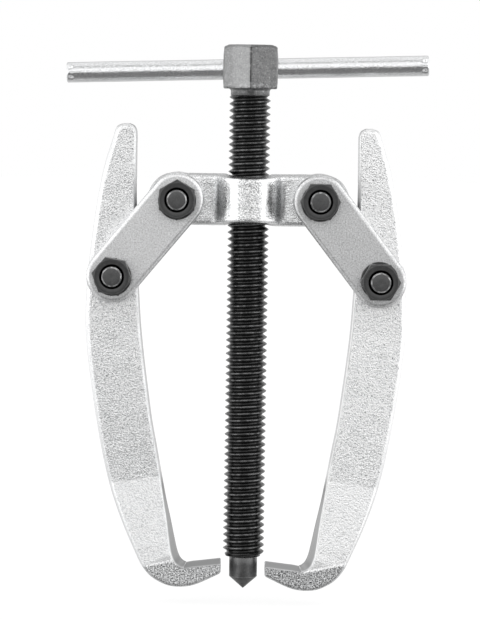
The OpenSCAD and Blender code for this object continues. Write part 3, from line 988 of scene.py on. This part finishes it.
def bolt_mesh(name, pivot, spin):
    """Chamfered end with the first rings of thread, plain shank, hexagon head at the rear."""
    end, seat, rear = bolt_lo[1], LINK_OUT_Y, bolt_hi[1]
    shank_end = seat - end + 0.5              # inside the head
    crest, root = 2.98, 2.74
    profile = [(0, 0.03), (0.5, 0.0), (2.50, 0.0), (2.60, 0.03), (2.93, 0.44), (crest, 0.62)]
    z = 0.7
    while z < 5.2:
        profile += [(crest, z), (root, z + 0.32), (root, z + 0.42), (crest, z + 0.74)]
        z += 1.0
    profile += [(2.995, z), (2.995, shank_end), (0, shank_end)]
    shank, shank_faces = revolve(profile, 64)
    height = rear - seat
    rings = hex_rings(M6_FLATS, 0, height, rounding=0.35, bottom=None, top=4.85,
                      inner=[(0, height)])
    on_axis = np.zeros((rings.shape[0], 1, 3))
    head, head_faces = turned(np.concatenate([on_axis, rings], 1))
    verts, faces = joined([(on_pivot(shank, pivot, end, 0), shank_faces),
                           (on_pivot(head, pivot, seat, spin), head_faces)])
    bolt = mesh_object(name, verts, faces, merge=1e-4)
    mark_edges(bolt)
    # the end is bare metal, most of all on its chamfer; the thread behind it is painted dark as
    # shade
    y, r = depth_and_radius(bolt, pivot)
    tip = y < end + 0.66
    wear = np.where(tip, np.where(r < 2.55, 0.11, 0.48), 0.0)
    attribute(bolt, "wear", wear - 0.8 * (~tip & (y < end + 3.0) & (r < 3.05)))
    return bolt


def washer_mesh(name, pivot, split, sag):
    """Split washer with rounded edges, cut at a slant at the angle split and set off centre
    by sag (x, z)."""
    inner, outer, corner = 3.42, 5.58, 0.18
    thickness = -LINK_OUT_Y - nut_hi[1]
    half_gap, slant = 4.5, 20                 # degrees
    section = []
    for centre_r, centre_z, first in (
            (inner + corner, corner, 180), (outer - corner, corner, 270),
            (outer - corner, thickness - corner, 0), (inner + corner, thickness - corner, 90)):
        for k in range(4):
            a = rad(first + 90 * k / 3)
            section.append((centre_r + corner * math.cos(a), centre_z + corner * math.sin(a)))
    rings = []
    for angle in np.linspace(half_gap, 360 - half_gap, 110):
        ring = []
        for r, z in section:
            a = rad(angle + deg((z - thickness / 2) * math.tan(rad(slant)) / r))
            ring.append((r * math.cos(a), r * math.sin(a), z))
        rings.append(ring)
    verts, faces = loft(np.array(rings))
    verts = on_pivot(verts, pivot, nut_hi[1], -split)
    verts[:, 0] += sag[0]
    verts[:, 2] += sag[1]
    washer = mesh_object(name, verts, faces)
    mark_edges(washer)
    attribute(washer, "wear", np.zeros(len(verts)))
    return washer


# pivot key, pivot, body, turn of the nut, turn of the bolt head, washer's split (degrees), sag
FASTENERS = [
    ("upper_left", UPPER_LEFT, "left_links", 30, 30, 40, (0.0, -0.34)),
    ("lower_left", LOWER_LEFT, "left_links", -50, 12, 75, (0.05, -0.30)),
    ("upper_right", UPPER_RIGHT, "right_links", 0, 0, 130, (0.0, -0.32)),
    ("lower_right", LOWER_RIGHT, "right_links", 0, 20, -160, (-0.17, 0.29))]
for key, pivot, body, nut_spin, head_spin, split, sag in FASTENERS:
    place(nut_mesh(f"nut_{key}_hex", pivot, nut_spin), body, f"nut_{key}",
          "dark_hardware", HARDWARE, sharp=22)
    place(bolt_mesh(f"bolt_{key}_m6", pivot, head_spin), body, f"bolt_{key}",
          "dark_hardware", HARDWARE, sharp=22)
    place(washer_mesh(f"washer_{key}_split", pivot, split, sag), body, f"washer_{key}",
          "dark_hardware", HARDWARE, sharp=30)


# ---------------------------------------------------------------- forcing screw

THREAD_CREST, THREAD_ROOT, THREAD_PITCH = 6.1, 5.02, 2.0
THREAD_STEPS = 72                                    # steps per turn
SCREW_END, SCREW_CAP = screw_lo[2], screw_hi[2]      # lower end, top of the hexagon
THREAD_TOP, HEX_BOTTOM = 146.8, 148.5                # the neck lies between them
HEX_FLATS, HEX_ROUNDING = 15.8, 0.45
CROSS_HOLE_R = 3.35


def thread_mesh():
    crest, root, pitch, steps = THREAD_CREST, THREAD_ROOT, THREAD_PITCH, THREAD_STEPS
    flank, half_flat = (crest - root) * math.tan(rad(30)), pitch / 8 / 2
    # one turn of the profile: (height, radius)
    profile = [(-pitch / 2, root - 0.03), (-(flank + half_flat), root + 0.01),
               (-(flank / 2 + half_flat), (root + crest) / 2), (-half_flat, crest - 0.04),
               (0.0, crest), (half_flat, crest - 0.04),
               (flank / 2 + half_flat, (root + crest) / 2), (flank + half_flat, root + 0.01)]
    size = len(profile)
    start = SCREW_END - 2.7                          # the first turn is cut off at the end
    total = (int((THREAD_TOP - start) / pitch) + 2) * steps
    verts = []
    for i in range(total + 1):
        a = 2 * math.pi * i / steps
        for rise, r in profile:
            z = start + pitch * i / steps + rise
            r = min(r, 5.25 + max(0.0, z - SCREW_END) * 0.6)       # turned-down start
            runout = float(smooth01(z, THREAD_TOP - 0.9, THREAD_TOP - 0.05))
            r = r * (1 - runout) + 5.70 * runout                   # run-out under the neck
            verts.append((r * math.cos(a), r * math.sin(a), z))

    def vertex(i, j):
        """The end of one turn's profile is point 0 of the next turn."""
        if j == size:
            i, j = i + steps, 0
        return i * size + j if i <= total else None

    faces = []
    for i in range(total):
        for j in range(size):
            quad = (vertex(i, j), vertex(i + 1, j), vertex(i + 1, j + 1), vertex(i, j + 1))
            if None not in quad:
                faces.append(quad)
    mesh = bpy.data.meshes.new("thread")
    mesh.from_pydata(verts, [], faces)
    work = bmesh.new()
    work.from_mesh(mesh)
    for z, up in ((SCREW_END, -1), (THREAD_TOP, 1)):
        bmesh.ops.bisect_plane(work, geom=work.verts[:] + work.edges[:] + work.faces[:],
                               dist=1e-5, plane_co=(0, 0, z), plane_no=(0, 0, up),
                               clear_outer=True)
        rim = [edge for edge in work.edges
               if edge.is_boundary and all(abs(vert.co.z - z) < 1e-3 for vert in edge.verts)]
        bmesh.ops.holes_fill(work, edges=rim, sides=0)
    loose = [vert for vert in work.verts if not vert.link_faces]
    bmesh.ops.delete(work, geom=loose, context="VERTS")
    bmesh.ops.recalc_face_normals(work, faces=work.faces)
    work.to_mesh(mesh)
    work.free()
    thread = bpy.data.objects.new("thread", mesh)
    bpy.context.scene.collection.objects.link(thread)
    cut(thread, [rod(2.05, (0, 0, SCREW_END - 3), (0, 0, SCREW_END + 8.5), 48)])
    return thread


def screw_head_mesh():
    """Neck and hexagon as one body; a corner faces the front, flats face left and right."""
    rings = hex_rings(HEX_FLATS, HEX_BOTTOM, SCREW_CAP, HEX_ROUNDING, bottom=None, top=6.5,
                      inner=[(0, SCREW_CAP)], levels=14, bevel=0.22, slope=23.0)
    neck = [(0, THREAD_TOP - 0.35), (5.62, THREAD_TOP - 0.35), (5.75, THREAD_TOP - 0.2),
            (5.75, HEX_BOTTOM - 0.7), (5.85, HEX_BOTTOM - 0.35), (6.15, HEX_BOTTOM - 0.1),
            (6.5, HEX_BOTTOM)]
    angles = [rad(angle) for angle in hex_angles(HEX_FLATS / 2, HEX_ROUNDING)]
    neck_rings = np.array([[(r * math.cos(a), r * math.sin(a), z) for r, z in neck]
                           for a in angles])
    verts, faces = turned(np.concatenate([neck_rings, rings], 1))
    verts = np.stack([-verts[:, 1], verts[:, 0], verts[:, 2]], 1)
    head = mesh_object("head", verts, faces, merge=1e-4)
    # metal raised round the cross hole
    points = coords(head)
    flat = np.abs(points[:, 0]) > HEX_FLATS / 2 - 0.04
    distance = np.hypot(points[:, 1], points[:, 2] - CROSS_HOLE_Z)
    lift = flat * 0.22 * np.exp(-((distance - 3.9) / 1.4) ** 2)
    points[:, 0] += np.sign(points[:, 0]) * lift
    set_coords(head, points)
    hammered(head, (points[:, 2] > HEX_BOTTOM + 0.3).astype(float), seed=9,
             broad=0.06, fine=0.05, broad_length=4.0, fine_length=0.9)
    cut(head, [rod(CROSS_HOLE_R, (-12, 0, CROSS_HOLE_Z), (12, 0, CROSS_HOLE_Z), 64)])
    return head


def screw_mesh():
    parts = []
    for obj in (thread_mesh(), screw_head_mesh()):
        parts.append((coords(obj), [tuple(face.vertices) for face in obj.data.polygons]))
        bpy.data.objects.remove(obj)
    verts, faces = joined(parts)
    screw = mesh_object("forcing_screw_threaded", verts, faces)
    x, y, z = coords(screw).T
    attribute(screw, "head", (z > THREAD_TOP - 0.2).astype(float))
    # wear: a painted dark reflection along the front corner, bare specks at the hexagon's lower
    # edge, lighter neck
    on_hex = z > HEX_BOTTOM + 0.05
    corner = on_hex * (y < -8.0) * np.exp(-(x / 0.17) ** 2) * (z < SCREW_CAP - 0.9)
    low = on_hex * (1 - smooth01(z, HEX_BOTTOM + 0.4, HEX_BOTTOM + 1.9))
    neck = (z > THREAD_TOP) & ~on_hex
    attribute(screw, "wear", 0.9 * low + 0.5 * neck - 1.5 * corner)
    # shade: tone below the hexagon and on its left and right flats; its front left face painted
    # lighter and its front right face painted darker, as light and shade
    shade = np.select(
        [~on_hex, np.abs(x) > 7.7, (x < 0) & (y < 0), (x > 0) & (y < 0)],
        [0.21, 0.25, 0.29 + 0.05 * smooth01(x, -5.8, -4.6), 0.175], default=0.25)
    attribute(screw, "shade", shade)
    attribute(screw, "edge", smooth01(np.hypot(x, y), 5.9, 6.08) * (z < THREAD_TOP))
    return screw


place(screw_mesh(), "screw", "forcing_screw", "black_oxide", SCREW_BLACK, sharp=75)


# ---------------------------------------------------------------- centre point

def nose_mesh():
    """Cone, cylindrical collar, and a thin stem above."""
    collar, stem_top = nose_hi[0], nose_hi[2]
    cone, top = 3.6, 9.6                      # heights of the cone's and the collar's tops
    profile = [
        (0, 0.0), (0.10, 0.03), (0.24, 0.14), (1.4, 1.17), (2.8, 2.40),
        (collar - 0.14, cone - 0.16), (collar - 0.02, cone - 0.02), (collar, cone + 0.14),
        (collar, 5.0), (collar, 7.0), (collar, top - 0.35), (collar - 0.08, top - 0.12),
        (collar - 0.3, top), (2.2, top), (2.0, top + 0.1), (2.0, stem_top - 0.2),
        (1.8, stem_top), (0, stem_top)]
    verts, faces = revolve(profile)
    nose = mesh_object("centre_point_nose", verts, faces, merge=1e-4)
    mark_edges(nose)
    attribute(nose, "wear", np.zeros(len(nose.data.vertices)))
    return nose


place(nose_mesh(), "live_centre", "centre_point", "gunmetal", GUNMETAL, sharp=28)


# ---------------------------------------------------------------- tommy bar

BAR_HALF, BAR_R = 53.5, 3.0
BAR_OFFSET = 0.8                                     # its middle lies this far back on its axis
BAR_SEGMENTS = 72
BAR_TIP = [(0.0, 0.84), (0.08, 0.92), (0.22, 0.97)]  # distance from the end, share of the radius
DENT_ANGLES = (29, -29, 151, -151)                   # dents near each end; 0 = front, 90 = up


def bar_radius(x, a):
    """What is added to the bar's radius at x along it and angle a."""
    change = 0.0
    from_end = BAR_HALF - abs(x)
    if from_end < 4.5:
        for dent in DENT_ANGLES:
            off = (deg(a) - dent + 180) % 360 - 180
            change -= 0.42 * math.exp(-(off / 9.0) ** 2 - ((from_end - 1.15) / 0.62) ** 2)
            change += 0.10 * math.exp(-((abs(off) - 19) / 9.0) ** 2
                                      - ((from_end - 1.3) / 1.0) ** 2)
    return change + 0.012 * math.sin(a * 2 + x * 0.21) + 0.008 * math.sin(a * 3 - x * 0.5)


def bar_mesh():
    half = BAR_HALF
    centre = np.array([0, 0, CROSS_HOLE_Z]) - BAR_AXIS * BAR_OFFSET
    up = np.cross(BAR_AXIS, [0, 1, 0])
    up = up if up[2] > 0 else -up
    forward = np.array([0.0, -1.0, 0.0])
    xs = np.concatenate([np.linspace(-half + 0.45, -half + 4.5, 34),
                         np.linspace(-half + 5.5, half - 5.5, 120),
                         np.linspace(half - 4.5, half - 0.45, 34)])
    stations = [(-half + inset, share) for inset, share in BAR_TIP]
    stations += [(x, 1.0) for x in xs]
    stations += [(half - inset, share) for inset, share in BAR_TIP[::-1]]
    rings = []
    for x, share in stations:
        ring = []
        for k in range(BAR_SEGMENTS):
            a = 2 * math.pi * k / BAR_SEGMENTS
            r = BAR_R * share + bar_radius(x, a)
            ring.append(centre + BAR_AXIS * x + (forward * math.cos(a) + up * math.sin(a)) * r)
        rings.append(ring)
    verts, faces = loft(np.array(rings))
    return mesh_object("tommy_bar_rod", verts, faces)


place(bar_mesh(), "bar", "tommy_bar", "zinc_bar", BAR_ZINC, sharp=60)


# ---------------------------------------------------------------- studio

def studio_group():
    """Light level for a direction, shared by the room and the floor. Angles are in degrees:
    elevation up from the horizon, azimuth 0 to the front (-Y) and positive to the right (+X)."""
    group = bpy.data.node_groups.new("studio_light", "ShaderNodeTree")
    group.interface.new_socket("Direction", in_out="INPUT", socket_type="NodeSocketVector")
    group.interface.new_socket("Level", in_out="OUTPUT", socket_type="NodeSocketFloat")
    tree = Tree(group)
    group_in, group_out = tree.node("NodeGroupInput"), tree.node("NodeGroupOutput")
    unit = tree.node("ShaderNodeVectorMath", operation="NORMALIZE")
    tree.put(unit, 0, group_in.outputs[0])
    split = tree.node("ShaderNodeSeparateXYZ")
    tree.put(split, 0, unit.outputs[0])
    x, y, z = (Value(tree, socket) for socket in split.outputs)
    degrees, limit = 57.29578, 0.9999         # degrees per radian, bound for the arcsine
    sine = tree.math("MAXIMUM", -limit, tree.math("MINIMUM", limit, z))
    elevation = tree.math("ARCSINE", sine) * degrees
    azimuth = tree.math("ARCTAN2", x, y * -1.0) * degrees
    off_front = tree.math("ABSOLUTE", azimuth)
    centre = tree.window(azimuth, low=-27, high=33, soft=6)
    left = tree.window(azimuth, low=-71, high=-32, soft=4)
    right = tree.window(azimuth, low=38, high=86, soft=4)
    sides = tree.window(off_front, low=72, high=164, soft=6)
    strip = tree.window(azimuth, low=-99, high=-86, soft=4)
    # above the horizon: a base level, and what each panel adds to it
    upper = 0.72 + centre * 0.42 + left * 0.85 + right * 0.72
    rear = tree.step(off_front, start=92, end=104)
    sides = sides * (1.0 - rear * tree.step(elevation, start=9, end=18) * 0.8)
    upper = upper + sides * 0.50 - strip * 0.20
    behind = tree.step(elevation, start=22, end=48, below=0.46, above=1.0)
    upper = tree.mix(tree.step(off_front, start=161, end=167), upper, behind)
    overhead = 0.92
    upper = tree.mix(tree.step(elevation, start=46, end=56), upper, overhead)
    # a dark band high at the front
    upper = upper - (tree.window(elevation, low=54.0, high=62.5, soft=1.0)
                     * tree.window(azimuth, low=-40, high=45, soft=6) * 0.80)
    # below it: a base level, a bright ring near the foot and a dark area to the front
    lower = (tree.step(elevation, start=-70, end=-56, below=0.42, above=0.66)
             + tree.window(elevation, low=-86, high=-81, soft=1.5) * 0.45)
    dark = (tree.window(azimuth, low=-30, high=36, soft=8)
            * tree.step(elevation, start=-80, end=-73))
    dark_level = 0.20
    lower = tree.mix(dark, lower, dark_level)
    # the border lies at -19 degrees, 18 higher at the front and 8 higher at the rear
    border = -19.0 + centre * 18.0 + rear * 8.0
    share = tree.step(elevation - border, start=-2.5, end=2.5)
    tree.put(group_out, 0, tree.mix(share, lower, upper))
    return group


STUDIO = studio_group()


def by_camera_ray(tree, lit, seen, output):
    """Sends seen to the output for camera rays and lit for all others."""
    mixer = tree.node("ShaderNodeMixShader")
    tree.put(mixer, 0, tree.node("ShaderNodeLightPath").outputs["Is Camera Ray"])
    tree.put(mixer, 1, lit.outputs[0])
    tree.put(mixer, 2, seen.outputs[0])
    tree.put(tree.node(output), 0, mixer.outputs[0])


def studio_world():
    """Lights with the studio, and looks plain white to the camera."""
    world = bpy.data.worlds.new("studio")
    bpy.context.scene.world = world
    tree = emptied_tree(world)
    level = tree.node("ShaderNodeGroup", node_tree=STUDIO)
    tree.put(level, 0, tree.node("ShaderNodeTexCoord").outputs["Generated"])
    lit, seen = tree.node("ShaderNodeBackground"), tree.node("ShaderNodeBackground")
    tree.put(lit, "Strength", level.outputs[0])
    tree.put(seen, "Strength", 1.0)
    for background in (lit, seen):
        tree.put(background, "Color", (1, 1, 1, 1))
    by_camera_ray(tree, lit, seen, "ShaderNodeOutputWorld")


def floor_paper():
    """Glowing matte paper to the camera; other rays find the studio's light below the horizon."""
    material = bpy.data.materials.new("floor_paper")
    tree = emptied_tree(material)
    level = tree.node("ShaderNodeGroup", node_tree=STUDIO)
    outgoing = tree.node("ShaderNodeVectorMath", operation="SCALE")
    tree.put(outgoing, 0, tree.node("ShaderNodeNewGeometry").outputs["Incoming"])
    tree.put(outgoing, "Scale", -1.0)
    tree.put(level, 0, outgoing.outputs[0])
    glow = tree.node("ShaderNodeEmission")
    tree.put(glow, "Strength", level.outputs[0])
    paper = tree.node("ShaderNodeEmission")
    tree.put(paper, "Strength", 0.86)
    matte = tree.node("ShaderNodeBsdfDiffuse")
    tree.put(matte, "Color", (0.2, 0.2, 0.2, 1))
    both = tree.node("ShaderNodeAddShader")
    tree.put(both, 0, paper.outputs[0])
    tree.put(both, 1, matte.outputs[0])
    by_camera_ray(tree, glow, both, "ShaderNodeOutputMaterial")
    material.cycles.emission_sampling = "NONE"
    return material


def floor_object():
    """A square grid in metres, reaching half_size from the middle."""
    half_size, cells, clearance = 6.0, 24, 0.0004
    screw_travel = 0.0041                     # the screw can run this far down below its rest
    z = min(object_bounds()[0][2], -screw_travel) - clearance
    row = cells + 1
    points = [((i / cells * 2 - 1) * half_size, (j / cells * 2 - 1) * half_size, z)
              for j in range(row) for i in range(row)]
    quads = [(j * row + i, j * row + i + 1, (j + 1) * row + i + 1, (j + 1) * row + i)
             for j in range(cells) for i in range(cells)]
    mesh = bpy.data.meshes.new("floor")
    mesh.from_pydata(points, [], quads)
    floor = bpy.data.objects.new("floor", mesh)
    bpy.context.scene.collection.objects.link(floor)
    mesh.materials.append(floor_paper())
    return floor


studio_world()
floor_object()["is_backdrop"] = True


# ---------------------------------------------------------------- camera and view

AIM = Vector((-0.00206, 0.0, 0.08294))        # metres
CAMERA_DISTANCE = 1.0
CAMERA_ELEVATION, CAMERA_ROLL = rad(3.4), rad(0.87)

scene = bpy.context.scene
camera_data = bpy.data.cameras.new("camera")
camera = bpy.data.objects.new("camera", camera_data)
scene.collection.objects.link(camera)
scene.camera = camera
camera_data.lens, camera_data.sensor_width = 195.65, 36.0
camera_data.clip_start, camera_data.clip_end = 0.05, 50
towards_camera = Vector((0.0, -math.cos(CAMERA_ELEVATION), math.sin(CAMERA_ELEVATION)))
camera.location = AIM + towards_camera * CAMERA_DISTANCE
camera.rotation_mode = "QUATERNION"
level_view = (-towards_camera).to_track_quat("-Z", "Y")
camera.rotation_quaternion = level_view @ Matrix.Rotation(CAMERA_ROLL, 4, "Z").to_quaternion()

scene.view_settings.view_transform = "Standard"
scene.view_settings.look = "None"
scene.cycles.max_bounces = 6
scene.cycles.glossy_bounces = 4
scene.cycles.diffuse_bounces = 3
